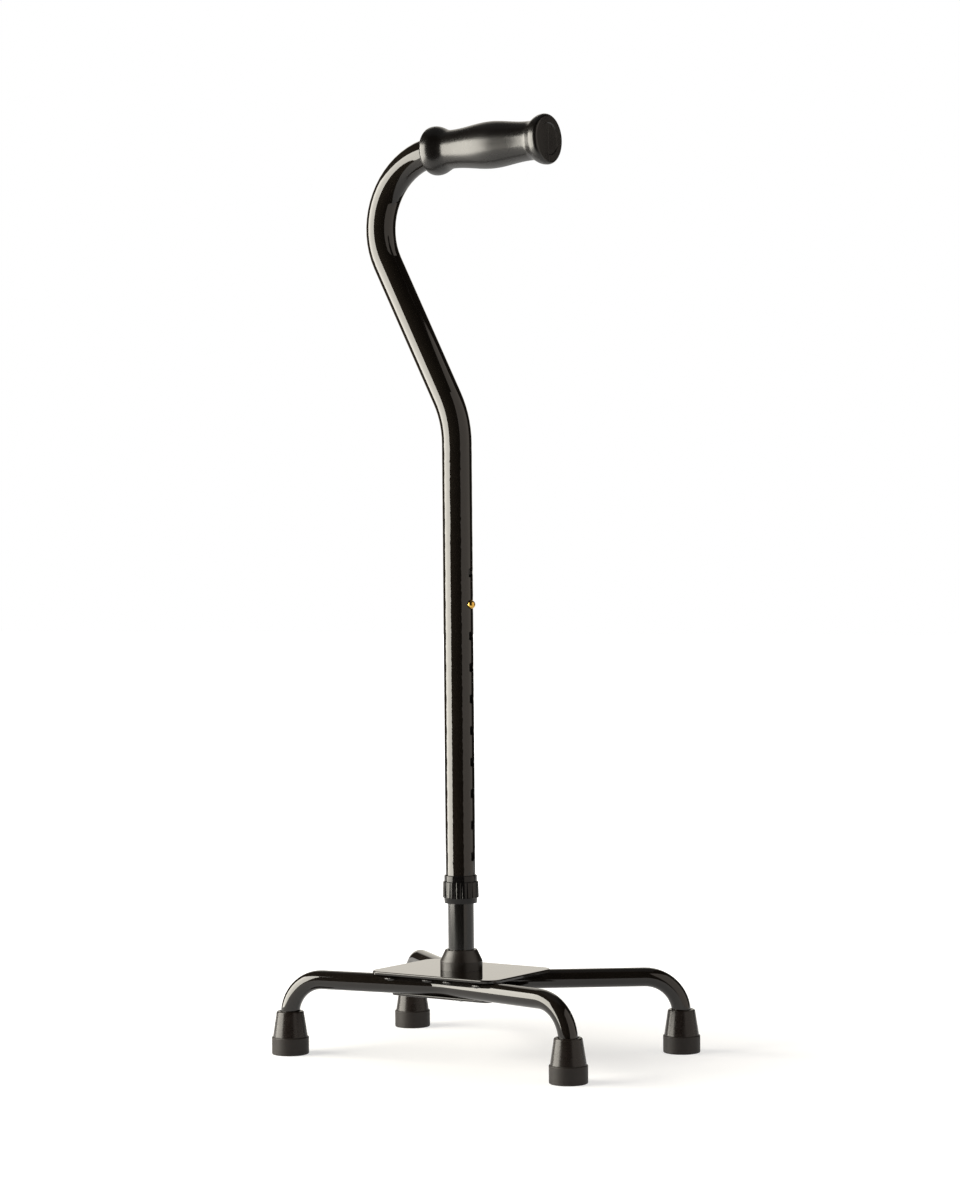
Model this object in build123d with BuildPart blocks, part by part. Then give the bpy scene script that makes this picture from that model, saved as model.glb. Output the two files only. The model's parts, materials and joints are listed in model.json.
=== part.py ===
from build123d import *
import os
from math import sqrt

# Quad walking cane with a wide base, in millimetres.
#
# The origin is on the floor, at the centre of the four rubber tips.  +X is the walking direction, which
# the grip points along, +Y is the far side, away from the user, and +Z is up.  The shaft stands over the
# middle of the base's length and nearer its user side.  The snap button stands in the second height hole.

# ---------------------------------------------------------------- driving dimensions
# Footprint: distances between the centres of the tips, and the shaft's place across them
foot_spacing_x = 270.0
foot_spacing_y = 172.0
shaft_y = -34.0

# Leg tubes: two bent tubes, each a V in plan with both ends turned down into a tip
leg_od = 15.5
leg_wall = 1.5
leg_height = 62.0           # centre line above the floor
leg_bend_radius = 30.0
user_apex = -26.0           # sharp corner of the user-side V, from the shaft
user_apex_radius = 60.0
far_apex = 14.0             # sharp corner of the far-side V, from the shaft
far_apex_radius = 35.0

# Base plates, above and below the leg tubes
top_plate_x, top_plate_y = 122.0, 92.0
top_plate_thickness = 2.5
top_plate_corner = 12.0
top_plate_edge_radius = 1.0
bottom_plate_x, bottom_plate_y = 96.0, 66.0
bottom_plate_thickness = 2.0
bottom_plate_corner = 6.0
bottom_plate_edge_radius = 0.6

# Rubber tips
tip_height = 35.2
tip_ring_height = 14.3
tip_ring_wall = 7.35        # rubber round the leg tube: foot ring, foot of the cone, top of the cone
tip_cone_base_wall = 6.4
tip_cone_top_wall = 3.2
tip_floor = 4.5             # rubber under the steel washer
tip_ring_edge_radius = 0.9
tip_top_edge_radius = 1.4
tip_washer_thickness = 1.6
tip_mouth_flare = 0.8       # lead-in for the leg tube, wide and deep
tip_mouth_depth = 2.2
tread_groove_radii = (5.0, 10.0)
tread_groove_width = 1.6
tread_groove_depth = 1.0

# Inner tube and the parts that hold it to the base
inner_wall = 1.2
inner_above_button = 24.0
insert_length = 24.0
bolt_d = 8.0
bolt_engagement = 20.0
bolt_lead = 1.0
bolt_head_across_flats = 13.0
bolt_head_height = 2.4
washer_d = 20.0
washer_thickness = 1.2
spring_washer_d = 14.0
spring_washer_thickness = 1.3

# Boot round the foot of the inner tube
boot_wall = 6.55
boot_top_wall = 2.25
boot_wall_height = 7.4
boot_height = 16.4
boot_edge_radius = 0.8

# Handle tube: upright length, forward lean behind the shaft, and the stretch inside the grip
outer_od = 24.2
outer_wall = 1.3
grip_height = 734.6         # centre line of the grip
neck_rise = 218.0           # height of the lean, from its sharp corner on the shaft line
neck_offset = 112.3         # sharp corner behind the shaft, at grip height
lower_bend_radius = 80.0
upper_bend_radius = 60.0

# Height holes
hole_pitch = 25.4
hole_count = 10
top_hole_below_bend = 124.0 # under that sharp corner
hole_d = 7.3
rest_hole = 1               # holes above the button's hole

# Snap button and its leaf spring
button_gap = 0.2            # radial, in its hole
button_stand_out = 3.8
button_flange_lip = 0.85
button_flange_thickness = 1.0
button_dome_radius = 3.3
leaf_width = 8.0
leaf_thickness = 0.7
leaf_length = 42.0
leaf_bend_radius = 4.0

# Guide bush in the top of the inner tube
bush_head_height = 6.0
bush_spigot_length = 12.0
bush_bore = 12.0

# Grip: thickness over the tube, and stations of distance from the grip's start and thickness there
grip_start_x = -23.5
grip_length = 115.0
grip_mouth_wall = 1.85
grip_bulge = (6.8, 7.6)
grip_back_waist = (22.0, 3.3)
grip_hump = (60.0, 6.6)
grip_front_waist = (98.0, 3.3)
grip_flange = (111.8, 7.9)
grip_rim_wall = 5.8
grip_end_wall = 4.0
grip_dish_wall = 0.85
grip_dish_depth = 0.8
plug_flange = 1.5
plug_length = 12.0

# Lock collar, nut and clamp collet at the lower end of the handle tube
collar_below_holes = 15.1   # from the lowest hole's centre
collar_band_wall = 1.15
collar_band_height = 4.8
collar_shank_wall = 0.75
collar_shank_height = 9.0
tube_seat_above_shank_end = 3.0
nut_top_wall, nut_bottom_wall = 1.15, 1.5
nut_height = 13.1
nut_lip_height = 4.4
nut_lip_step = 1.1          # inwards from the bottom of the ribs
nut_lip_taper = 0.4
nut_floor = 1.8
nut_flute_count = 20
nut_flute_radius = 1.6
nut_flute_depth = 0.6
nut_edge_chamfer = 0.4
collet_foot_height = 2.6
collet_foot_wall = 1.22
collet_top_wall = 0.47
collet_cone_height = 3.0
collet_slots = 3
collet_slot_width = 1.6

# Clearances
seat_gap = 0.05             # between pieces of one body that are pressed, welded or bolted together
running_gap = 0.08          # radial, shaft in bore
open_gap = 0.3              # between moving pieces that don't bear on each other

# ---------------------------------------------------------------- worked-out places
lower_bend_height = grip_height - neck_rise
top_hole_height = lower_bend_height - top_hole_below_bend
lowest_hole_height = top_hole_height - (hole_count - 1) * hole_pitch
foot_x = foot_spacing_x / 2
foot_y = foot_spacing_y / 2
outer_bore = outer_od - 2 * outer_wall
inner_od = outer_bore - 2 * open_gap
inner_bore = inner_od - 2 * inner_wall
leg_end_z = tip_floor + tip_washer_thickness + seat_gap
top_plate_z = leg_height + leg_od / 2 + seat_gap
base_top_z = top_plate_z + top_plate_thickness
bottom_plate_z = leg_height - leg_od / 2 - seat_gap - bottom_plate_thickness
inner_foot_z = base_top_z + seat_gap
button_z = top_hole_height - rest_hole * hole_pitch
button_d = hole_d - 2 * button_gap
button_flange_d = button_d + 2 * button_flange_lip
inner_top_z = button_z + inner_above_button
grip_end_x = grip_start_x + grip_length
tube_end_x = grip_end_x - grip_end_wall - plug_flange - seat_gap
collar_top = lowest_hole_height - collar_below_holes
collar_band_z = collar_top - collar_band_height
collar_end_z = collar_band_z - collar_shank_height
tube_foot_z = collar_end_z + tube_seat_above_shank_end
nut_top_z = collar_band_z - open_gap
nut_lip_z = nut_top_z - nut_height
nut_foot_z = nut_lip_z - nut_lip_height

os.makedirs("parts", exist_ok=True)


def on_shaft(z):
    """Level plane centred on the shaft at height z."""
    return Plane(origin=(0, shaft_y, z))


def shaft_section():
    """Upright plane through the shaft: its x is the radius along +X, its y is the height."""
    return Plane(origin=(0, shaft_y, 0), x_dir=(1, 0, 0), z_dir=(0, -1, 0))


def rims(builder, radius, count=1):
    """The circular edges of a revolved piece that have the given radius."""
    circles = builder.edges().filter_by(GeomType.CIRCLE)
    return sorted(circles, key=lambda rim: abs(rim.radius - radius))[:count]


def save(builder, name):
    """Label a finished piece and write it as its own STEP file."""
    builder.part.label = name
    export_step(builder.part, f"parts/{name}.step")


# ---------------------------------------------------------------- leg tubes
def leg_tube(foot_line_y, apex_y, apex_radius):
    """One leg tube: down-turned end, V across the base, down-turned end."""
    foot = (-foot_x, foot_line_y, leg_end_z)
    with BuildPart() as leg:
        with BuildLine():
            FilletPolyline(
                foot,
                (-foot_x, foot_line_y, leg_height),
                (0, apex_y, leg_height),
                (foot_x, foot_line_y, leg_height),
                (foot_x, foot_line_y, leg_end_z),
                radius=[leg_bend_radius, apex_radius, leg_bend_radius],
            )
        with BuildSketch(Plane(origin=foot)):
            Circle(leg_od / 2)
            Circle(leg_od / 2 - leg_wall, mode=Mode.SUBTRACT)
        sweep()
    return leg


save(leg_tube(-foot_y, shaft_y + user_apex, user_apex_radius), "user_side_leg_tube")
save(leg_tube(foot_y, shaft_y + far_apex, far_apex_radius), "far_side_leg_tube")

# ---------------------------------------------------------------- base plates
with BuildPart() as base_top_plate:
    with BuildSketch(on_shaft(top_plate_z)):
        RectangleRounded(top_plate_x, top_plate_y, top_plate_corner)
    extrude(amount=top_plate_thickness)
    fillet(base_top_plate.edges().group_by(Axis.Z)[-1], top_plate_edge_radius)
    with Locations(on_shaft(base_top_z)):
        Hole(bolt_d / 2 + open_gap)
save(base_top_plate, "base_top_plate")

with BuildPart() as base_bottom_plate:
    with BuildSketch(on_shaft(bottom_plate_z)):
        RectangleRounded(bottom_plate_x, bottom_plate_y, bottom_plate_corner)
    extrude(amount=bottom_plate_thickness)
    fillet(base_bottom_plate.edges().filter_by(Axis.Z, reverse=True), bottom_plate_edge_radius)
    with Locations(on_shaft(bottom_plate_z + bottom_plate_thickness)):
        Hole(bolt_d / 2 + open_gap)
save(base_bottom_plate, "base_bottom_plate")

# ---------------------------------------------------------------- rubber tips and their washers
tip_bore_r = leg_od / 2 + seat_gap
tip_ring_r = tip_bore_r + tip_ring_wall
tip_cone_base_r = tip_bore_r + tip_cone_base_wall
tip_cone_top_r = tip_bore_r + tip_cone_top_wall
tips = {
    "tip_back_user_side": (-foot_x, -foot_y),
    "tip_front_user_side": (foot_x, -foot_y),
    "tip_front_far_side": (foot_x, foot_y),
    "tip_back_far_side": (-foot_x, foot_y),
}
for tip_name, (tip_x, tip_y) in tips.items():
    with BuildPart() as tip:
        with BuildSketch(Plane(origin=(tip_x, tip_y, 0), x_dir=(1, 0, 0), z_dir=(0, -1, 0))):
            with BuildLine():
                Polyline(
                    (0, 0),
                    (tip_ring_r, 0),
                    (tip_ring_r, tip_ring_height),
                    (tip_cone_base_r, tip_ring_height),
                    (tip_cone_top_r, tip_height),
                    (tip_bore_r + tip_mouth_flare, tip_height),
                    (tip_bore_r, tip_height - tip_mouth_depth),
                    (tip_bore_r, tip_floor),
                    (0, tip_floor),
                    close=True,
                )
            make_face()
            for groove_r in tread_groove_radii:
                with Locations((groove_r, tread_groove_depth / 2)):
                    Rectangle(tread_groove_width, tread_groove_depth, mode=Mode.SUBTRACT)
        revolve(axis=Axis((tip_x, tip_y, 0), (0, 0, 1)))
        fillet(rims(tip, tip_ring_r, 2), tip_ring_edge_radius)
        fillet(rims(tip, tip_cone_top_r), tip_top_edge_radius)
    save(tip, tip_name)

with BuildPart() as tip_washers:
    with BuildSketch(Plane.XY.offset(tip_floor)):
        with GridLocations(foot_spacing_x, foot_spacing_y, 2, 2):
            Circle(leg_od / 2)
    extrude(amount=tip_washer_thickness)
save(tip_washers, "tip_washers")

# ---------------------------------------------------------------- inner tube and its fixing
with BuildPart() as inner_tube:
    with BuildSketch(on_shaft(inner_foot_z)):
        Circle(inner_od / 2)
        Circle(inner_bore / 2, mode=Mode.SUBTRACT)
    extrude(amount=inner_top_z - inner_foot_z)
    with BuildSketch(Plane(origin=(0, shaft_y, button_z), z_dir=(1, 0, 0))):
        Circle(hole_d / 2)
    extrude(amount=inner_od, mode=Mode.SUBTRACT)
save(inner_tube, "inner_tube")

with BuildPart() as tube_insert:
    with BuildSketch(on_shaft(inner_foot_z)):
        Circle(inner_bore / 2 - seat_gap)
        Circle(bolt_d / 2 + seat_gap, mode=Mode.SUBTRACT)
    extrude(amount=insert_length)
save(tube_insert, "tube_insert")

flat_washer_z = bottom_plate_z - seat_gap - washer_thickness
spring_washer_z = flat_washer_z - seat_gap - spring_washer_thickness
bolt_head_z = spring_washer_z - seat_gap

for washer_name, washer_z, thickness, diameter in (
    ("base_flat_washer", flat_washer_z, washer_thickness, washer_d),
    ("base_spring_washer", spring_washer_z, spring_washer_thickness, spring_washer_d),
):
    with BuildPart() as washer:
        with BuildSketch(on_shaft(washer_z)):
            Circle(diameter / 2)
            Circle(bolt_d / 2 + seat_gap, mode=Mode.SUBTRACT)
        extrude(amount=thickness)
    save(washer, washer_name)

with BuildPart() as base_bolt:
    with BuildSketch(on_shaft(bolt_head_z)):
        RegularPolygon(bolt_head_across_flats / 2, 6, major_radius=False)
    extrude(amount=-bolt_head_height)
    with BuildSketch(on_shaft(bolt_head_z)):
        Circle(bolt_d / 2)
    extrude(amount=inner_foot_z + bolt_engagement - bolt_head_z)
    chamfer(base_bolt.edges().filter_by(GeomType.CIRCLE).group_by(Axis.Z)[-1], bolt_lead)
save(base_bolt, "base_bolt")

boot_bore_r = inner_od / 2 + seat_gap
boot_r = boot_bore_r + boot_wall
boot_top_r = boot_bore_r + boot_top_wall
with BuildPart() as base_boot:
    with BuildSketch(shaft_section()):
        with BuildLine():
            Polyline(
                (boot_bore_r, inner_foot_z),
                (boot_r, inner_foot_z),
                (boot_r, inner_foot_z + boot_wall_height),
                (boot_top_r, inner_foot_z + boot_height),
                (boot_bore_r, inner_foot_z + boot_height),
                close=True,
            )
        make_face()
    revolve(axis=Axis((0, shaft_y, 0), (0, 0, 1)))
    shoulder_rim = max(rims(base_boot, boot_r, 2), key=lambda rim: rim.center().Z)
    fillet(rims(base_boot, boot_top_r) + [shoulder_rim], boot_edge_radius)
save(base_boot, "base_boot")

# ---------------------------------------------------------------- snap button and leaf spring
leaf_half_width = leaf_width / 2
flange_room = sqrt((inner_bore / 2) ** 2 - (button_flange_d / 2) ** 2)
flange_x = flange_room - seat_gap - button_flange_thickness
button_tip_x = outer_od / 2 + button_stand_out

with BuildPart() as snap_button:
    with BuildSketch(Plane(origin=(flange_x, shaft_y, button_z), z_dir=(1, 0, 0))):
        Circle(button_flange_d / 2)
    extrude(amount=button_flange_thickness)
    with BuildSketch(Plane(origin=(flange_x, shaft_y, button_z), z_dir=(1, 0, 0))):
        Circle(button_d / 2)
    extrude(amount=button_tip_x - flange_x)
    fillet(snap_button.edges().filter_by(GeomType.CIRCLE).sort_by(Axis.X)[-1], button_dome_radius)
save(snap_button, "snap_button")

leaf_back_x = -(sqrt((inner_bore / 2) ** 2 - leaf_half_width**2) - seat_gap)
leaf_front_x = flange_x - seat_gap
leaf_foot_z = button_z - leaf_length
leaf_foot_x = leaf_bend_radius + leaf_thickness
with BuildPart() as snap_spring:
    with BuildSketch(shaft_section()):
        with BuildLine():
            FilletPolyline(
                (leaf_front_x, button_z + leaf_half_width),
                (leaf_front_x, button_z - leaf_half_width),
                (leaf_foot_x, leaf_foot_z),
                (-leaf_foot_x, leaf_foot_z),
                (leaf_back_x, button_z),
                radius=[leaf_bend_radius * 2, leaf_bend_radius, leaf_bend_radius],
            )
            offset(amount=leaf_thickness, side=Side.RIGHT)
        make_face()
    extrude(amount=leaf_half_width, both=True)
save(snap_spring, "snap_spring")

# ---------------------------------------------------------------- guide bush
bush_z = inner_top_z + running_gap
with BuildPart() as guide_bush:
    with BuildSketch(on_shaft(bush_z)):
        Circle(outer_bore / 2 - running_gap)
    extrude(amount=bush_head_height)
    with BuildSketch(on_shaft(bush_z)):
        Circle(inner_bore / 2 - running_gap)
    extrude(amount=-bush_spigot_length)
    with Locations(on_shaft(bush_z + bush_head_height)):
        Hole(bush_bore / 2)
save(guide_bush, "guide_bush")


# ---------------------------------------------------------------- handle tube
def neck_line():
    """Centre line of the handle tube, from its foot on the shaft to its end in the grip."""
    return FilletPolyline(
        (0, tube_foot_z),
        (0, lower_bend_height),
        (-neck_offset, grip_height),
        (tube_end_x, grip_height),
        radius=[lower_bend_radius, upper_bend_radius],
    )


with BuildPart() as handle_tube:
    with BuildLine(shaft_section()):
        neck_line()
    with BuildSketch(on_shaft(tube_foot_z)):
        Circle(outer_od / 2)
        Circle(outer_bore / 2, mode=Mode.SUBTRACT)
    sweep()
    for hole in range(hole_count):
        with BuildSketch(Plane(origin=(0, shaft_y, top_hole_height - hole * hole_pitch), z_dir=(1, 0, 0))):
            Circle(hole_d / 2)
        extrude(amount=outer_od, both=True, mode=Mode.SUBTRACT)
save(handle_tube, "handle_tube")

with BuildPart() as tube_end_plug:
    with BuildSketch(Plane(origin=(tube_end_x + seat_gap, shaft_y, grip_height), z_dir=(1, 0, 0))):
        Circle(outer_od / 2)
    extrude(amount=plug_flange)
    with BuildSketch(Plane(origin=(tube_end_x + seat_gap, shaft_y, grip_height), z_dir=(1, 0, 0))):
        Circle(outer_bore / 2 - seat_gap)
    extrude(amount=-plug_length)
save(tube_end_plug, "tube_end_plug")


# ---------------------------------------------------------------- grip
grip_bore_r = outer_od / 2 + seat_gap


def grip_point(station):
    """Outline point of the grip at a station of distance along it and thickness over the tube."""
    distance, thickness = station
    return (grip_start_x + distance, grip_height + grip_bore_r + thickness)


with BuildPart() as handle_grip:
    with BuildSketch(shaft_section()):
        with BuildLine():
            waves = Spline(
                grip_point((0, grip_mouth_wall)),
                grip_point(grip_bulge),
                grip_point(grip_back_waist),
                grip_point(grip_hump),
                grip_point(grip_front_waist),
                grip_point(grip_flange),
                tangents=[(0, 1), (1, 0), (1, 0), (1, 0), (1, 0), (1, 0)],
            )
            rim = TangentArc(waves @ 1, grip_point((grip_length, grip_rim_wall)), tangent=(1, 0))
            Polyline(
                rim @ 1,
                grip_point((grip_length, grip_dish_wall)),
                grip_point((grip_length - grip_dish_depth, grip_dish_wall - grip_dish_depth)),
                (grip_end_x - grip_dish_depth, grip_height),
                (grip_start_x, grip_height),
                waves @ 0,
            )
        make_face()
    revolve(axis=Axis((0, shaft_y, grip_height), (1, 0, 0)))
    with BuildLine(shaft_section()):
        neck_line()
    with BuildSketch(on_shaft(tube_foot_z)):
        Circle(grip_bore_r)
    sweep(mode=Mode.SUBTRACT)
    with BuildSketch(Plane(origin=(tube_end_x, shaft_y, grip_height), z_dir=(1, 0, 0))):
        Circle(grip_bore_r)
    extrude(amount=plug_flange + 2 * seat_gap, mode=Mode.SUBTRACT)
save(handle_grip, "handle_grip")

# ---------------------------------------------------------------- lock collar, clamp collet and lock nut
collet_foot_z = nut_foot_z + nut_floor + seat_gap
collet_shoulder_z = collet_foot_z + collet_foot_height
collet_bore_r = inner_od / 2 + running_gap
collet_foot_r = collet_bore_r + collet_foot_wall
collet_top_r = collet_bore_r + collet_top_wall
collet_cone_z = collar_end_z - open_gap
collet_top_z = collet_cone_z + collet_cone_height
collar_bore_r = outer_od / 2 + seat_gap
collar_band_r = collar_bore_r + collar_band_wall
collar_shank_r = collar_bore_r + collar_shank_wall
mouth_r = collet_foot_r + open_gap
throat_r = collet_top_r + open_gap

with BuildPart() as lock_collar:
    with BuildSketch(shaft_section()):
        with BuildLine():
            Polyline(
                (collar_bore_r, collar_top),
                (collar_band_r, collar_top),
                (collar_band_r, collar_band_z),
                (collar_shank_r, collar_band_z),
                (collar_shank_r, collar_end_z),
                (mouth_r, collar_end_z),
                (throat_r, tube_foot_z - seat_gap),
                (collar_bore_r, tube_foot_z - seat_gap),
                close=True,
            )
        make_face()
    revolve(axis=Axis((0, shaft_y, 0), (0, 0, 1)))
    chamfer(lock_collar.edges().group_by(Axis.Z)[-1].sort_by(SortBy.RADIUS)[-1], nut_edge_chamfer)
save(lock_collar, "lock_collar")

with BuildPart() as clamp_collet:
    with BuildSketch(shaft_section()):
        with BuildLine():
            Polyline(
                (collet_bore_r, collet_foot_z),
                (collet_foot_r, collet_foot_z),
                (collet_foot_r, collet_cone_z),
                (collet_top_r, collet_top_z),
                (collet_bore_r, collet_top_z),
                close=True,
            )
        make_face()
    revolve(axis=Axis((0, shaft_y, 0), (0, 0, 1)))
    slot_height = collet_top_z - collet_shoulder_z
    with BuildSketch(on_shaft(collet_shoulder_z)):
        with PolarLocations(collet_foot_r, collet_slots):
            Rectangle(collet_foot_r, collet_slot_width)
    extrude(amount=slot_height, mode=Mode.SUBTRACT)
save(clamp_collet, "clamp_collet")

nut_bore_r = collar_shank_r + open_gap
nut_top_r = nut_bore_r + nut_top_wall
nut_bottom_r = nut_bore_r + nut_bottom_wall
nut_lip_r = nut_bottom_r - nut_lip_step
nut_seat_r = collet_foot_r + running_gap
nut_eye_r = inner_od / 2 + open_gap
with BuildPart() as lock_nut:
    with BuildSketch(shaft_section()):
        with BuildLine():
            Polyline(
                (nut_eye_r, nut_foot_z),
                (nut_lip_r - nut_lip_taper, nut_foot_z),
                (nut_lip_r, nut_lip_z),
                (nut_bottom_r, nut_lip_z),
                (nut_top_r, nut_top_z),
                (nut_bore_r, nut_top_z),
                (nut_bore_r, nut_lip_z),
                (nut_seat_r, nut_lip_z),
                (nut_seat_r, nut_foot_z + nut_floor),
                (nut_eye_r, nut_foot_z + nut_floor),
                close=True,
            )
        make_face()
    revolve(axis=Axis((0, shaft_y, 0), (0, 0, 1)))
    chamfer(rims(lock_nut, nut_top_r) + rims(lock_nut, nut_bottom_r), nut_edge_chamfer)
    flute_centre_r = nut_bottom_r - nut_flute_depth + nut_flute_radius
    with BuildSketch(on_shaft(nut_lip_z)):
        with PolarLocations(flute_centre_r, nut_flute_count):
            Circle(nut_flute_radius)
    extrude(amount=nut_height, mode=Mode.SUBTRACT)
save(lock_nut, "lock_nut")
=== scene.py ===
import json
import math

import bpy
from bpy.props import FloatProperty, FloatVectorProperty, IntProperty, PointerProperty
from mathutils import Matrix, Vector

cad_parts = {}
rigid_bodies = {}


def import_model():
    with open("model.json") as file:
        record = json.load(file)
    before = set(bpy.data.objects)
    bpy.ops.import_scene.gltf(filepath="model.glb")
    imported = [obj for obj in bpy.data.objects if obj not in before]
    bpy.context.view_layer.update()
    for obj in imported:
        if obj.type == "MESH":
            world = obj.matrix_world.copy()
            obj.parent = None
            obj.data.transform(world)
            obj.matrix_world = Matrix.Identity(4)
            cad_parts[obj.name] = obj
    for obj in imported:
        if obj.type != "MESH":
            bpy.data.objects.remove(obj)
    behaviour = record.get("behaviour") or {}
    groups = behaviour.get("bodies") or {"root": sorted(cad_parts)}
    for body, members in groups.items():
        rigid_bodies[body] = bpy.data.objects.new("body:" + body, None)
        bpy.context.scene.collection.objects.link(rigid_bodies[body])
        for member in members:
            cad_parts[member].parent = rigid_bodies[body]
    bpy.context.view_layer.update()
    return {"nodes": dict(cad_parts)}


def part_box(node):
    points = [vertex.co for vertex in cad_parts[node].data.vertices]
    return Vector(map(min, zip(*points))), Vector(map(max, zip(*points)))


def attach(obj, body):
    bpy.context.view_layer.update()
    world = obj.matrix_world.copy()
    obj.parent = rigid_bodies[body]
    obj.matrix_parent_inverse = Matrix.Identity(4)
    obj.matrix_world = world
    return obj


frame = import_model()
nodes = frame["nodes"]

bl_info = {
    "name": "Quad walking cane",
    "version": (1, 0, 0),
    "blender": (4, 5, 0),
    "location": "3D View > Sidebar > Cane",
    "description": "Welds, finishes and studio of a height-adjustable walking cane on four feet",
    "category": "Object",
}

MM = 0.001

# ---------------------------------------------------------------- places taken from the frame
top_plate_low, top_plate_high = (Vector(corner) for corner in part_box("base_top_plate"))
bottom_plate_high = Vector(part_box("base_bottom_plate")[1])
user_legs_low, user_legs_high = (Vector(corner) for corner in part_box("user_side_leg_tube"))
far_legs_high = Vector(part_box("far_side_leg_tube")[1])

shaft_x = (top_plate_low.x + top_plate_high.x) / 2
shaft_y = (top_plate_low.y + top_plate_high.y) / 2
leg_radius = (user_legs_high.z - bottom_plate_high.z) / 2
leg_z = user_legs_high.z - leg_radius
foot_x = user_legs_high.x - leg_radius
user_foot_y = user_legs_low.y + leg_radius
far_foot_y = far_legs_high.y - leg_radius
# each leg tube is bent to a V in plan: how far the corner of the V is from the shaft
user_apex_offset = -26 * MM
far_apex_offset = 14 * MM
user_apex_y = shaft_y + user_apex_offset
far_apex_y = shaft_y + far_apex_offset
tip_ring_height = 14.3 * MM


# ---------------------------------------------------------------- helpers
def linear(hex_code):
    """Linear RGBA of an sRGB hex colour."""
    channels = [int(hex_code[i : i + 2], 16) / 255 for i in (0, 2, 4)]
    curved = [c / 12.92 if c <= 0.04045 else ((c + 0.055) / 1.055) ** 2.4 for c in channels]
    return (*curved, 1.0)


def shade(colour, share):
    """A darker or lighter colour: each channel times the share."""
    return (*(Vector(colour[:3]) * share), 1.0)


def select_only(*objects):
    """Deselect everything, then select these objects with the last one active."""
    for other in bpy.context.view_layer.objects:
        other.select_set(False)
    for thing in objects:
        thing.select_set(True)
        bpy.context.view_layer.objects.active = thing


def settle(piece, name, material, body):
    """Name a finished piece, put its place into its mesh, dress it and let it ride on its body."""
    select_only(piece)
    bpy.ops.object.transform_apply(location=True, rotation=True, scale=True)
    piece.name = name
    piece.data.materials.clear()
    piece.data.materials.append(material)
    bpy.ops.object.shade_smooth_by_angle(angle=math.radians(40))
    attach(piece, body)


def join(tree, node, inputs):
    """Fill sockets, by name or number: each with a number, a colour, a node's output or a node."""
    for key, value in inputs.items():
        if isinstance(value, bpy.types.Node):
            value = value.outputs[0]
        if isinstance(value, bpy.types.NodeSocket):
            tree.links.new(value, node.inputs[key])
        else:
            node.inputs[key].default_value = value


def add(tree, kind, settings, inputs):
    """Add a node with its settings and links."""
    node = tree.nodes.new(kind)
    for key, value in settings.items():
        setattr(node, key, value)
    join(tree, node, inputs)
    return node


def new_material(name, ior):
    """Node material with a Principled shader, and the place that its patterns follow."""
    material = bpy.data.materials.new(name)
    material.use_nodes = True
    tree = material.node_tree
    tree.nodes.clear()
    shader = add(tree, "ShaderNodeBsdfPrincipled", {}, {"IOR": ior})
    add(tree, "ShaderNodeOutputMaterial", {}, {"Surface": shader})
    place = add(tree, "ShaderNodeTexCoord", {}, {}).outputs["Object"]
    return material, tree, shader, place


def dress(material, *names):
    """Give a material to every slot of these CAD nodes."""
    for name in names:
        for holder in nodes[name].material_slots:
            holder.material = material


# ---------------------------------------------------------------- finishes
# a noise stays mostly within these two values, so they are taken as its ends
NOISE_ENDS = {"From Min": 0.3, "From Max": 0.7}
SHARP_ENDS = {"From Min": 0.0, "From Max": 1.0}


def baked_enamel(name, colour, gloss, peel):
    """Stoving enamel, sprayed on and baked: a deep gloss with a faint orange peel 2 mm across."""
    material, tree, shader, place = new_material(name, 1.5)
    # wiping leaves patches some 18 mm across
    wiped = add(
        tree, "ShaderNodeTexNoise", {}, {"Vector": place, "Scale": 1 / (18 * MM), "Detail": 3}
    )
    tint = add(
        tree,
        "ShaderNodeMix",
        {"data_type": "RGBA"},
        {0: wiped.outputs[0], 6: shade(colour, 0.8), 7: shade(colour, 1.2)},
    )
    rough = {"Value": wiped, "To Min": gloss * 0.8, "To Max": gloss * 1.3}
    rough = add(tree, "ShaderNodeMapRange", {}, NOISE_ENDS | rough)
    # orange peel: the spray's droplets, drawn as smooth low swells
    swells = add(
        tree, "ShaderNodeTexNoise", {}, {"Vector": place, "Scale": 1 / (2.2 * MM), "Detail": 0}
    )
    peel = add(tree, "ShaderNodeBump", {}, {"Height": swells, "Distance": peel})
    join(tree, shader, {"Base Color": tint.outputs[2], "Roughness": rough, "Normal": peel})
    return material


def drawn_tube_enamel(name, colour):
    """Thin satin enamel on drawn tube: the draw lines run along the shaft and show through it."""
    material, tree, shader, place = new_material(name, 1.5)
    # draw lines 0.8 mm apart and some 60 mm long
    drawn_out = (1 / (0.8 * MM), 1 / (0.8 * MM), 1 / (60 * MM))
    drawn_out = add(tree, "ShaderNodeMapping", {}, {"Vector": place, "Scale": drawn_out})
    lines = add(tree, "ShaderNodeTexNoise", {}, {"Vector": drawn_out, "Scale": 1.0, "Detail": 2.0})
    tint = add(
        tree,
        "ShaderNodeMix",
        {"data_type": "RGBA"},
        {0: lines.outputs[0], 6: shade(colour, 0.75), 7: shade(colour, 1.25)},
    )
    rough = {"Value": lines, "To Min": 0.10, "To Max": 0.16}
    rough = add(tree, "ShaderNodeMapRange", {}, NOISE_ENDS | rough)
    ridges = add(tree, "ShaderNodeBump", {}, {"Height": lines, "Distance": 0.001 * MM})
    join(tree, shader, {"Base Color": tint.outputs[2], "Roughness": rough, "Normal": ridges})
    return material


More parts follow.
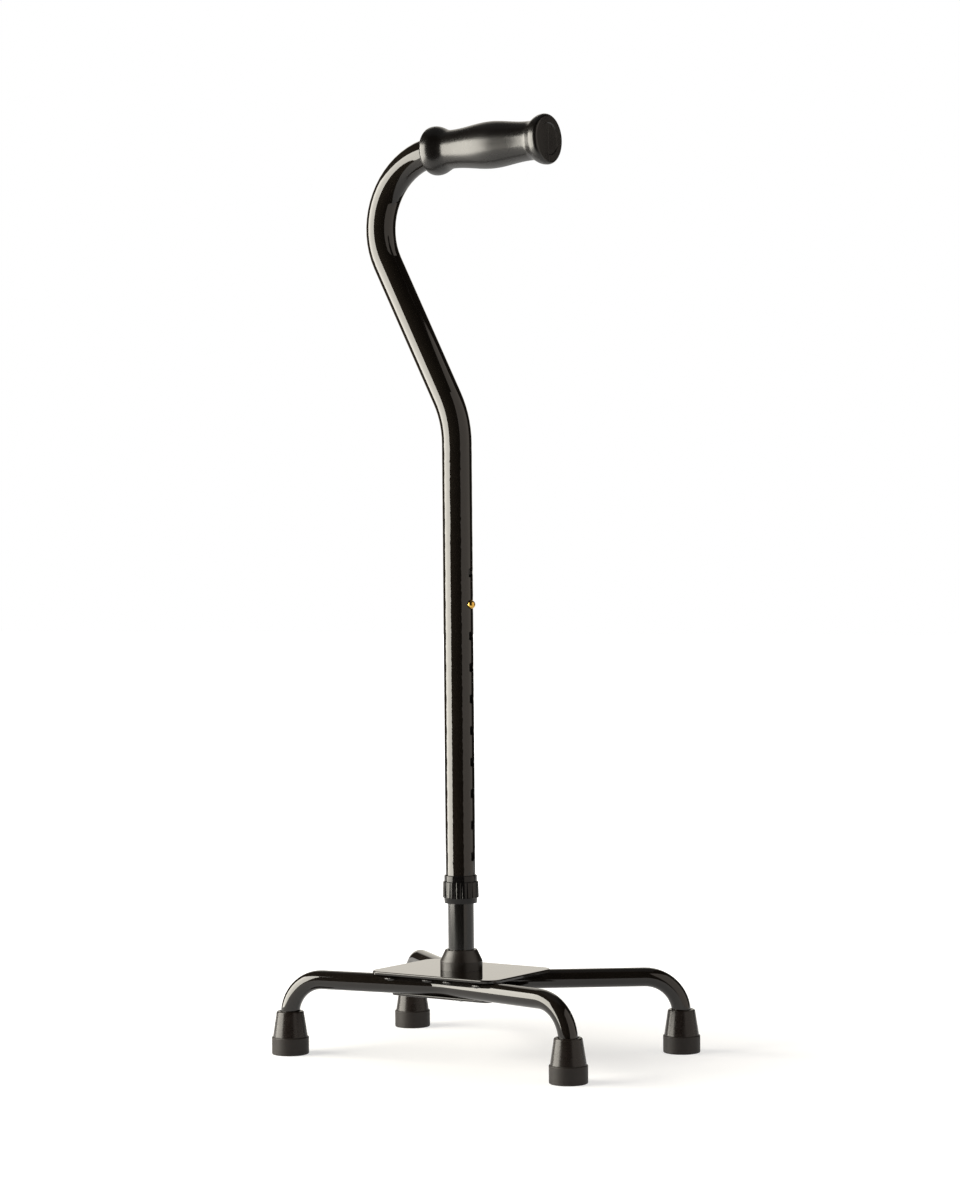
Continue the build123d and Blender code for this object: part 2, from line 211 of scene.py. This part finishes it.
def moulded_vinyl(name, colour, seam_y):
    """Soft PVC from a polished mould: satin, with a fine skin and a parting line."""
    material, tree, shader, place = new_material(name, 1.52)
    handled = add(
        tree, "ShaderNodeTexNoise", {}, {"Vector": place, "Scale": 1 / (25 * MM), "Detail": 3}
    )
    tint = add(
        tree,
        "ShaderNodeMix",
        {"data_type": "RGBA"},
        {0: handled.outputs[0], 6: shade(colour, 0.85), 7: shade(colour, 1.2)},
    )
    # skin oils polish the places a hand rubs
    rough = {"Value": handled, "To Min": 0.25, "To Max": 0.32}
    rough = add(tree, "ShaderNodeMapRange", {}, NOISE_ENDS | rough)
    pores = add(
        tree, "ShaderNodeTexNoise", {}, {"Vector": place, "Scale": 1 / (0.7 * MM), "Detail": 2}
    )
    skin = add(tree, "ShaderNodeBump", {}, {"Height": pores, "Distance": 0.004 * MM})
    # parting line of the two mould halves, 0.3 mm to each side, along the grip's top and bottom
    across = add(tree, "ShaderNodeSeparateXYZ", {}, {"Vector": place}).outputs["Y"]
    from_seam = add(tree, "ShaderNodeMath", {"operation": "SUBTRACT"}, {0: across, 1: seam_y})
    distance = add(tree, "ShaderNodeMath", {"operation": "ABSOLUTE"}, {0: from_seam})
    ridge = {"From Min": 0.05 * MM, "From Max": 0.3 * MM, "To Min": 1.0, "To Max": 0.0}
    ridge = add(tree, "ShaderNodeMapRange", {}, {"Value": distance} | ridge)
    seam = {"Height": ridge, "Distance": 0.05 * MM, "Normal": skin}
    seam = add(tree, "ShaderNodeBump", {}, seam)
    join(tree, shader, {"Base Color": tint.outputs[2], "Roughness": rough, "Normal": seam})
    return material


def moulded_rubber(name, colour, ring_height):
    """Compression-moulded natural rubber: a dull foot ring, a cone that shines a little."""
    material, tree, shader, place = new_material(name, 1.5)
    bloom = add(
        tree, "ShaderNodeTexNoise", {}, {"Vector": place, "Scale": 1 / (9 * MM), "Detail": 4}
    )
    tint = add(
        tree,
        "ShaderNodeMix",
        {"data_type": "RGBA"},
        {0: bloom.outputs[0], 6: shade(colour, 0.8), 7: shade(colour, 1.3)},
    )
    height = add(tree, "ShaderNodeSeparateXYZ", {}, {"Vector": place}).outputs["Z"]
    # the ring's dull mould meets the cone's smoother one within 0.4 mm
    step = {"From Min": ring_height, "From Max": ring_height + 0.4 * MM}
    dull = {"Value": height, "To Min": 0.52, "To Max": 0.27}
    dull = add(tree, "ShaderNodeMapRange", {}, step | dull)
    patchy = {"Value": bloom, "To Min": -0.04, "To Max": 0.04}
    patchy = add(tree, "ShaderNodeMapRange", {}, NOISE_ENDS | patchy)
    rough = add(tree, "ShaderNodeMath", {"operation": "ADD"}, {0: dull, 1: patchy})
    # the spark-eroded mould leaves a grain of about 0.5 mm
    pits = add(
        tree, "ShaderNodeTexNoise", {}, {"Vector": place, "Scale": 1 / (0.5 * MM), "Detail": 2}
    )
    pits = add(tree, "ShaderNodeBump", {}, {"Height": pits, "Distance": 0.006 * MM})
    join(tree, shader, {"Base Color": tint.outputs[2], "Roughness": rough, "Normal": pits})
    # carbon black dulls the sheen
    join(tree, shader, {"Specular IOR Level": 0.33})
    return material


def moulded_plastic(name, colour, low, high, skin, specular=0.5):
    """Moulded plastic: low and high are its roughness, skin the depth of the mould's grain."""
    material, tree, shader, place = new_material(name, 1.49)
    mottle = add(
        tree, "ShaderNodeTexNoise", {}, {"Vector": place, "Scale": 1 / (7 * MM), "Detail": 3}
    )
    tint = add(
        tree,
        "ShaderNodeMix",
        {"data_type": "RGBA"},
        {0: mottle.outputs[0], 6: shade(colour, 0.85), 7: shade(colour, 1.15)},
    )
    rough = {"Value": mottle, "To Min": low, "To Max": high}
    rough = add(tree, "ShaderNodeMapRange", {}, NOISE_ENDS | rough)
    grain = add(
        tree, "ShaderNodeTexNoise", {}, {"Vector": place, "Scale": 1 / (0.4 * MM), "Detail": 2}
    )
    grain = add(tree, "ShaderNodeBump", {}, {"Height": grain, "Distance": skin})
    join(tree, shader, {"Base Color": tint.outputs[2], "Roughness": rough, "Normal": grain})
    join(tree, shader, {"Specular IOR Level": specular})
    return material


def plated_metal(name, colour, low, high, scratch):
    """Bare, plated or polished metal: fine wiping scratches and a little tarnish in its tint."""
    material, tree, shader, place = new_material(name, 1.5)
    shader.inputs["Metallic"].default_value = 1.0
    tarnish = add(
        tree, "ShaderNodeTexNoise", {}, {"Vector": place, "Scale": 1 / (2.5 * MM), "Detail": 4}
    )
    tint = add(
        tree,
        "ShaderNodeMix",
        {"data_type": "RGBA"},
        {0: tarnish.outputs[0], 6: shade(colour, 0.82), 7: shade(colour, 1.0)},
    )
    rough = {"Value": tarnish, "To Min": low, "To Max": high}
    rough = add(tree, "ShaderNodeMapRange", {}, NOISE_ENDS | rough)
    # wiping scratches 0.25 mm apart and 4 mm long
    drawn_out = (1 / (4 * MM), 1 / (0.25 * MM), 1 / (0.25 * MM))
    drawn_out = add(tree, "ShaderNodeMapping", {}, {"Vector": place, "Scale": drawn_out})
    lines = add(tree, "ShaderNodeTexNoise", {}, {"Vector": drawn_out, "Scale": 1.0, "Detail": 2.0})
    lines = add(tree, "ShaderNodeBump", {}, {"Height": lines, "Distance": scratch})
    join(tree, shader, {"Base Color": tint.outputs[2], "Roughness": rough, "Normal": lines})
    return material


# ---------------------------------------------------------------- settings
def colour(label, about, hex_code):
    """A colour that the user may change."""
    return FloatVectorProperty(
        name=label,
        description=about,
        subtype="COLOR",
        size=4,
        min=0.0,
        max=1.0,
        default=linear(hex_code),
    )


class CaneFinishes(bpy.types.PropertyGroup):
    enamel: colour("Enamel", "Baked enamel of the handle tube, legs and plates", "14110E")
    inner_enamel: colour("Inner tube", "Thin satin enamel of the inner tube", "121110")
    vinyl: colour("Grip", "Moulded vinyl of the grip", "0B0908")
    rubber: colour("Tips", "Rubber of the four tips", "17120F")
    boot: colour("Boot", "Plastic boot round the foot of the shaft", "17120F")
    lock: colour("Lock", "Plastic of the lock nut and collar", "0C0B0B")
    nylon: colour("Collet", "Natural nylon of the clamp collet", "D9D4C6")
    hidden_plastic: colour("Inner plastic", "Plastic of the bush, plug and insert", "2B2A29")
    brass: colour("Button", "Polished brass of the snap button", "E2B457")
    spring: colour("Spring", "Blued steel of the leaf spring", "4C5561")
    zinc: colour("Zinc", "Zinc plate of the bolt and washers", "B7BABD")
    gloss: FloatProperty(
        name="Enamel roughness",
        description="Roughness of the baked enamel",
        default=0.04,
        min=0.0,
        max=1.0,
    )
    peel: FloatProperty(
        name="Orange peel",
        description="Depth of the enamel's orange peel",
        default=0.0005 * MM,
        subtype="DISTANCE",
        unit="LENGTH",
        precision=6,
    )


class CaneWelds(bpy.types.PropertyGroup):
    length: FloatProperty(
        name="Stitch length",
        description="Length of one weld stitch",
        default=9 * MM,
        subtype="DISTANCE",
        unit="LENGTH",
    )
    width: FloatProperty(
        name="Stitch width",
        description="Width of one weld stitch",
        default=4.4 * MM,
        subtype="DISTANCE",
        unit="LENGTH",
    )
    ripples: IntProperty(name="Ripples", description="Ripples along one stitch", default=6, min=2)
    inner_reach: FloatProperty(
        name="Inner stitch",
        description="Distance of the inner stitches from the middle of the base",
        default=11 * MM,
        subtype="DISTANCE",
        unit="LENGTH",
    )
    outer_reach: FloatProperty(
        name="Outer stitch",
        description="Distance of the outer stitches from the middle of the base",
        default=44 * MM,
        subtype="DISTANCE",
        unit="LENGTH",
    )


class CaneStudio(bpy.types.PropertyGroup):
    key: FloatProperty(
        name="Key light", description="Radiance of the tall softbox", default=12.4, min=0.0
    )
    fill: FloatProperty(
        name="Fill card", description="Radiance of the pale card", default=1.0, min=0.0
    )
    top: FloatProperty(
        name="Top light", description="Radiance of the overhead softbox", default=0.1, min=0.0
    )
    floor_white: FloatProperty(
        name="Floor", description="Whiteness of the floor", default=0.5, max=1.0
    )
    floor_glow: FloatProperty(
        name="Floor glow", description="Light the floor gives itself", default=0.54
    )
    backdrop: FloatProperty(name="Backdrop", description="Brightness of the backdrop", default=1.2)
    dark: FloatProperty(name="Dark side", description="Brightness of the unlit studio", default=0.02)


# ---------------------------------------------------------------- pieces
STITCH_FACETS = 16  # round a stitch
RINGS_PER_RIPPLE = 4
VALLEY_SHARE = 0.86  # a valley's width and height as a share of the ripple's
# the bead sits in the crevice between the tube's shoulder and the plate's underside
BEAD_SIDEWAYS, BEAD_UPWARDS = 0.84, 0.58  # shares of the leg tube's radius


def weld_stitch(length, width, ripples, place, turn):
    """One short arc-weld stitch, with the ripples its pool leaves; `turn` is its angle in plan."""
    select_only()
    bpy.ops.mesh.primitive_uv_sphere_add(
        segments=STITCH_FACETS,
        ring_count=ripples * RINGS_PER_RIPPLE,
        radius=0.5,
        location=(0, 0, 0),
        rotation=(0, math.pi / 2, 0),
    )
    stitch = bpy.context.active_object
    stitch.scale = (width, width, length)
    bpy.ops.object.transform_apply(location=False, rotation=True, scale=True)
    # every ripple is a ring pulled in towards the middle line
    for ripple in range(1, ripples):
        valley = length * (ripple / ripples - 0.5)
        for corner in stitch.data.vertices:
            corner.select = abs(corner.co.x - valley) < length / (ripples * 5)
        bpy.ops.object.mode_set(mode="EDIT")
        pulled_in = (1, VALLEY_SHARE, VALLEY_SHARE)
        bpy.ops.transform.resize(value=pulled_in, center_override=(valley, 0, 0))
        bpy.ops.mesh.select_all(action="DESELECT")
        bpy.ops.object.mode_set(mode="OBJECT")
    rounding = stitch.modifiers.new("rounding", "SUBSURF")
    rounding.levels = rounding.render_levels = 1
    bpy.ops.object.modifier_apply(modifier="rounding")
    stitch.rotation_euler = (0, 0, turn)
    stitch.location = place
    return stitch


class CANE_OT_weld_stitches(bpy.types.Operator):
    """Weld stitches that hold each leg tube under the top plate"""

    bl_idname = "cane.weld_stitches"
    bl_label = "Weld stitches"

    def execute(self, context):
        welds, finishes = context.scene.cane_welds, context.scene.cane_finishes
        # enamel over the bead's rough skin: three times as rough as on the smooth tube
        material = baked_enamel("painted_weld", finishes.enamel, finishes.gloss * 3, finishes.peel)
        sideways = leg_radius * BEAD_SIDEWAYS
        height = leg_z + leg_radius * BEAD_UPWARDS
        for legs, apex_y, foot_y in (
            ("user", user_apex_y, user_foot_y),
            ("far", far_apex_y, far_foot_y),
        ):
            outwards = math.copysign(1, foot_y - apex_y)
            for hand, end in (("back", -1), ("front", 1)):
                slope = math.atan2(foot_y - apex_y, end * foot_x)
                along = Vector((math.cos(slope), math.sin(slope), 0))
                across = Vector((-along.y, along.x, 0))
                across *= math.copysign(1, across.y * outwards)
                for spot, reach in (("inner", welds.inner_reach), ("outer", welds.outer_reach)):
                    place = Vector((0, apex_y, height)) + along * reach + across * sideways
                    stitch = weld_stitch(welds.length, welds.width, welds.ripples, place, slope)
                    settle(stitch, f"weld_{legs}_{hand}_{spot}", material, "base")
        return {"FINISHED"}


class CANE_OT_tubes_and_plates(bpy.types.Operator):
    """Baked enamel on the handle tube, leg tubes and plates, satin enamel on the inner tube"""

    bl_idname = "cane.tubes_and_plates"
    bl_label = "Tubes and plates"

    def execute(self, context):
        finishes = context.scene.cane_finishes
        enamel = baked_enamel(
            "gloss_black_stoving_enamel", finishes.enamel, finishes.gloss, finishes.peel
        )
        dress(enamel, "handle_tube", "user_side_leg_tube", "far_side_leg_tube")
        dress(enamel, "base_top_plate", "base_bottom_plate")
        satin = drawn_tube_enamel("satin_black_enamel_on_drawn_tube", finishes.inner_enamel)
        dress(satin, "inner_tube")
        return {"FINISHED"}


class CANE_OT_grip(bpy.types.Operator):
    """Moulded vinyl on the grip, plain plastic on the plug, bush and insert inside the tubes"""

    bl_idname = "cane.grip"
    bl_label = "Grip"

    def execute(self, context):
        finishes = context.scene.cane_finishes
        dress(moulded_vinyl("moulded_black_vinyl", finishes.vinyl, shaft_y), "handle_grip")
        # unpolished polyethylene: waxy and dull
        waxy = moulded_plastic("polyethylene_plug", finishes.hidden_plastic, 0.4, 0.5, 0.01 * MM)
        dress(waxy, "tube_end_plug", "guide_bush", "tube_insert")
        return {"FINISHED"}


class CANE_OT_tips_and_boot(bpy.types.Operator):
    """Moulded rubber on the four tips, matt plastic on the boot"""

    bl_idname = "cane.tips_and_boot"
    bl_label = "Tips and boot"

    def execute(self, context):
        finishes = context.scene.cane_finishes
        rubber = moulded_rubber("compression_moulded_rubber", finishes.rubber, tip_ring_height)
        tips = [name for name in nodes if name.startswith("tip_") and name != "tip_washers"]
        dress(rubber, *tips)
        # polypropylene from a blasted mould: matt, with a broad soft highlight
        boot = moulded_plastic("matt_black_polypropylene", finishes.boot, 0.32, 0.42, 0.01 * MM)
        dress(boot, "base_boot")
        return {"FINISHED"}


class CANE_OT_lock(bpy.types.Operator):
    """Acetal on the lock nut and collar, natural nylon on the clamp collet"""

    bl_idname = "cane.lock"
    bl_label = "Lock"

    def execute(self, context):
        finishes = context.scene.cane_finishes
        # acetal from a polished mould: slippery and fairly glossy, its sheen dulled by handling
        acetal = moulded_plastic(
            "black_acetal", finishes.lock, 0.10, 0.16, 0.002 * MM, specular=0.3
        )
        dress(acetal, "lock_nut", "lock_collar")
        # undyed nylon: milky and satin
        nylon = moulded_plastic("natural_nylon", finishes.nylon, 0.4, 0.5, 0.01 * MM)
        dress(nylon, "clamp_collet")
        return {"FINISHED"}


class CANE_OT_metal_fittings(bpy.types.Operator):
    """Brass on the snap button, blued steel on its spring, zinc plate on the bolt and washers"""

    bl_idname = "cane.metal_fittings"
    bl_label = "Metal fittings"

    def execute(self, context):
        finishes = context.scene.cane_finishes
        # turned and polished: a warm, nearly sharp reflection
        brass = plated_metal("polished_brass", finishes.brass, 0.12, 0.22, 0.002 * MM)
        dress(brass, "snap_button")
        # hardened strip, blued by the heat
        spring = plated_metal("blued_spring_steel", finishes.spring, 0.28, 0.4, 0.003 * MM)
        dress(spring, "snap_spring")
        # zinc plate, passivated clear: a cool grey that blurs what it reflects
        zinc = plated_metal("bright_zinc_plate", finishes.zinc, 0.25, 0.4, 0.003 * MM)
        dress(zinc, "base_bolt", "base_spring_washer", "base_flat_washer", "tip_washers")
        return {"FINISHED"}


# ---------------------------------------------------------------- studio
camera_place = Vector((1.3383, -1.9690, 0.3875))
camera_yaw = math.radians(34.24)
camera_dip = math.radians(0.41)
camera_roll = math.radians(-0.50)
camera_lens = 87.4

# the table, in metres from the middle of the base: its two sides, its front edge, and where the
# paper on it turns plain white; it runs on behind
TABLE_SIDES = {"From Min": 1.176, "From Max": 1.224, "To Min": 1.0, "To Max": 0.0}
TABLE_FRONT = {"From Min": -0.636, "From Max": -0.576, "To Min": 0.0, "To Max": 1.0}
WHITE_OUT = {"From Min": 0.084, "From Max": 1.08, "To Min": 0.0, "To Max": 1.0}

# the backdrop is a hanging roll: tangents of how far it reaches to each side, sines of how far up
ROLL_SIDES = {"From Min": 0.30, "From Max": 0.42, "To Min": 1.0, "To Max": 0.0}
ROLL_TOP = {"From Min": 0.60, "From Max": 0.75, "To Min": 1.0, "To Max": 0.0}
AHEAD = {"From Min": 0.0, "From Max": 0.01, "To Min": 0.0, "To Max": 1.0}


def from_camera(degrees):
    """Level direction that many degrees to the left of the way from the shaft to the camera."""
    angle = math.atan2(camera_place.y - shaft_y, camera_place.x - shaft_x) - math.radians(degrees)
    return Vector((math.cos(angle), math.sin(angle), 0))


def studio_floor(name, white, glow):
    """Matt white paper on a table: soft shadows near the feet, plain white further off.

    The object itself sees only the lit table; past its edges it sees the studio.
    """
    material, tree, shader, place = new_material(name, 1.5)
    fibres = add(
        tree, "ShaderNodeTexNoise", {}, {"Vector": place, "Scale": 1 / (3 * MM), "Detail": 3}
    )
    creamy, plain = (white * 0.99, white * 0.99, white * 0.985, 1), (white, white, white, 1)
    paper = {0: fibres.outputs[0], 6: creamy, 7: plain}
    paper = add(tree, "ShaderNodeMix", {"data_type": "RGBA"}, paper).outputs[2]
    distance = add(tree, "ShaderNodeVectorMath", {"operation": "LENGTH"}, {"Vector": place})
    back, side = (
        add(tree, "ShaderNodeVectorMath", {"operation": "DOT_PRODUCT"}, {0: place, 1: way})
        for way in (from_camera(180), from_camera(90))
    )
    aside = add(tree, "ShaderNodeMath", {"operation": "ABSOLUTE"}, {0: side.outputs["Value"]})
    before_side = add(tree, "ShaderNodeMapRange", {}, TABLE_SIDES | {"Value": aside})
    along = back.outputs["Value"]
    behind_front = add(tree, "ShaderNodeMapRange", {}, TABLE_FRONT | {"Value": along})
    on_table = {0: before_side, 1: behind_front}
    on_table = add(tree, "ShaderNodeMath", {"operation": "MULTIPLY"}, on_table)
    camera_ray = add(tree, "ShaderNodeLightPath", {}, {}).outputs["Is Camera Ray"]
    shown = add(tree, "ShaderNodeMath", {"operation": "MAXIMUM"}, {0: on_table, 1: camera_ray})
    far = {"Value": distance.outputs["Value"]}
    far = add(tree, "ShaderNodeMapRange", {}, WHITE_OUT | far)
    white_out = add(tree, "ShaderNodeMath", {"operation": "MULTIPLY"}, {0: far, 1: camera_ray})
    strength = add(tree, "ShaderNodeMath", {"operation": "ADD"}, {0: white_out, 1: glow})
    join(tree, shader, {"Base Color": paper, "Roughness": 0.9, "Specular IOR Level": 0.0})
    join(tree, shader, {"Emission Color": (1, 1, 1, 1), "Emission Strength": strength})
    past_edge = add(tree, "ShaderNodeBsdfTransparent", {}, {})
    cut = add(tree, "ShaderNodeMixShader", {}, {0: shown, 1: past_edge, 2: shader})
    join(tree, tree.nodes["Material Output"], {"Surface": cut})
    return material


def softbox(name, direction, distance, height, width, tall, radiance, tint, aim_height):
    """Rectangular softbox of an even radiance, aimed at the shaft."""
    light = bpy.data.lights.new(name, "AREA")
    light.shape = "RECTANGLE"
    light.size, light.size_y = width, tall
    light.energy = radiance * math.pi * width * tall
    light.color = linear(tint)[:3]
    lamp = bpy.data.objects.new(name, light)
    bpy.context.scene.collection.objects.link(lamp)
    lamp.location = Vector((shaft_x, shaft_y, height)) + direction * distance
    aim = Vector((shaft_x, shaft_y, aim_height)) - lamp.location
    lamp.rotation_euler = aim.to_track_quat("-Z", "Y").to_euler()
    lamp.visible_camera = False


def studio_world(backdrop, dark):
    """White all round for the camera; a white backdrop and a dim studio light the object."""
    world = bpy.data.worlds.new("studio")
    world.use_nodes = True
    bpy.context.scene.world = world
    tree = world.node_tree
    tree.nodes.clear()
    direction = add(tree, "ShaderNodeTexCoord", {}, {}).outputs["Generated"]
    behind, beside, above = (
        add(tree, "ShaderNodeVectorMath", {"operation": "DOT_PRODUCT"}, {0: direction, 1: way})
        for way in (from_camera(180), from_camera(90), Vector((0, 0, 1)))
    )
    behind, beside, above = (part.outputs["Value"] for part in (behind, beside, above))
    aside = add(tree, "ShaderNodeMath", {"operation": "DIVIDE"}, {0: beside, 1: behind})
    aside = add(tree, "ShaderNodeMath", {"operation": "ABSOLUTE"}, {0: aside})
    within, below_top, ahead = (
        add(tree, "ShaderNodeMapRange", {}, ends | {"Value": value})
        for value, ends in ((aside, ROLL_SIDES), (above, ROLL_TOP), (behind, AHEAD))
    )
    roll = add(tree, "ShaderNodeMath", {"operation": "MULTIPLY"}, {0: within, 1: below_top})
    roll = add(tree, "ShaderNodeMath", {"operation": "MULTIPLY"}, {0: roll, 1: ahead})
    level = {"Value": roll, "To Min": dark, "To Max": backdrop}
    level = add(tree, "ShaderNodeMapRange", {}, SHARP_ENDS | level)
    lit = {"Color": linear("FFF9ED"), "Strength": level}
    lit = add(tree, "ShaderNodeBackground", {}, lit)
    seen = add(tree, "ShaderNodeBackground", {}, {"Color": (1, 1, 1, 1), "Strength": 1.0})
    camera_ray = add(tree, "ShaderNodeLightPath", {}, {}).outputs["Is Camera Ray"]
    mix = add(tree, "ShaderNodeMixShader", {}, {0: camera_ray, 1: lit, 2: seen})
    add(tree, "ShaderNodeOutputWorld", {}, {"Surface": mix})


class CANE_OT_studio(bpy.types.Operator):
    """White floor, softboxes and the camera"""

    bl_idname = "cane.studio"
    bl_label = "Studio"

    def execute(self, context):
        studio = context.scene.cane_studio
        context.scene.view_settings.view_transform = "Standard"
        select_only()
        bpy.ops.mesh.primitive_plane_add(size=30, location=(0, 0, 0))
        floor = context.active_object
        floor.name = "floor"
        paper = studio_floor("white_paper_table", studio.floor_white, studio.floor_glow)
        floor.data.materials.append(paper)

        studio_world(studio.backdrop, studio.dark)
        # the key and the card stand upright and reach down past the table's edge
        for name, degrees, distance, height, width, tall, radiance, tint, aim_height in (
            ("key_softbox", 87, 1.6, 0.525, 1.65, 1.75, studio.key, "FFFAEE", 0.525),
            ("fill_card", -65.5, 1.6, 0.975, 2.7, 2.65, studio.fill, "FFF3E6", 0.975),
            ("top_softbox", 180, 0.4, 2.4, 2.0, 2.0, studio.top, "FFFFFF", 0.3),
        ):
            away = from_camera(degrees)
            softbox(name, away, distance, height, width, tall, radiance, tint, aim_height)

        lens = bpy.data.cameras.new("camera")
        lens.lens = camera_lens
        lens.sensor_width = 36
        lens.clip_end = 100
        camera = bpy.data.objects.new("camera", lens)
        context.scene.collection.objects.link(camera)
        yaw = Matrix.Rotation(camera_yaw, 4, "Z")
        pitch = Matrix.Rotation(math.pi / 2 - camera_dip, 4, "X")
        roll = Matrix.Rotation(camera_roll, 4, "Z")
        camera.matrix_world = Matrix.Translation(camera_place) @ (yaw @ pitch) @ roll
        context.scene.camera = camera
        return {"FINISHED"}


# ---------------------------------------------------------------- panel and registration
class CANE_PT_panel(bpy.types.Panel):
    """Lists the cane's pieces and their settings"""

    bl_label = "Walking cane"
    bl_idname = "CANE_PT_panel"
    bl_space_type = "VIEW_3D"
    bl_region_type = "UI"
    bl_category = "Cane"

    def draw(self, context):
        layout = self.layout
        for operator in operators:
            layout.operator(operator.bl_idname)
        for group in ("cane_finishes", "cane_welds", "cane_studio"):
            box = layout.box()
            settings = getattr(context.scene, group)
            for key in settings.__annotations__:
                box.prop(settings, key)


operators = (
    CANE_OT_tubes_and_plates,
    CANE_OT_weld_stitches,
    CANE_OT_grip,
    CANE_OT_tips_and_boot,
    CANE_OT_lock,
    CANE_OT_metal_fittings,
    CANE_OT_studio,
)
setting_groups = {"cane_finishes": CaneFinishes, "cane_welds": CaneWelds, "cane_studio": CaneStudio}


def register():
    for kind in (*setting_groups.values(), *operators, CANE_PT_panel):
        bpy.utils.register_class(kind)
    for name, group in setting_groups.items():
        setattr(bpy.types.Scene, name, PointerProperty(type=group))


def unregister():
    for name in setting_groups:
        delattr(bpy.types.Scene, name)
    for kind in reversed((*setting_groups.values(), *operators, CANE_PT_panel)):
        bpy.utils.unregister_class(kind)


def main():
    register()
    bpy.ops.cane.tubes_and_plates()
    bpy.ops.cane.weld_stitches()
    bpy.ops.cane.grip()
    bpy.ops.cane.tips_and_boot()
    bpy.ops.cane.lock()
    bpy.ops.cane.metal_fittings()
    bpy.ops.cane.studio()


if __name__ == "__main__":
    main()
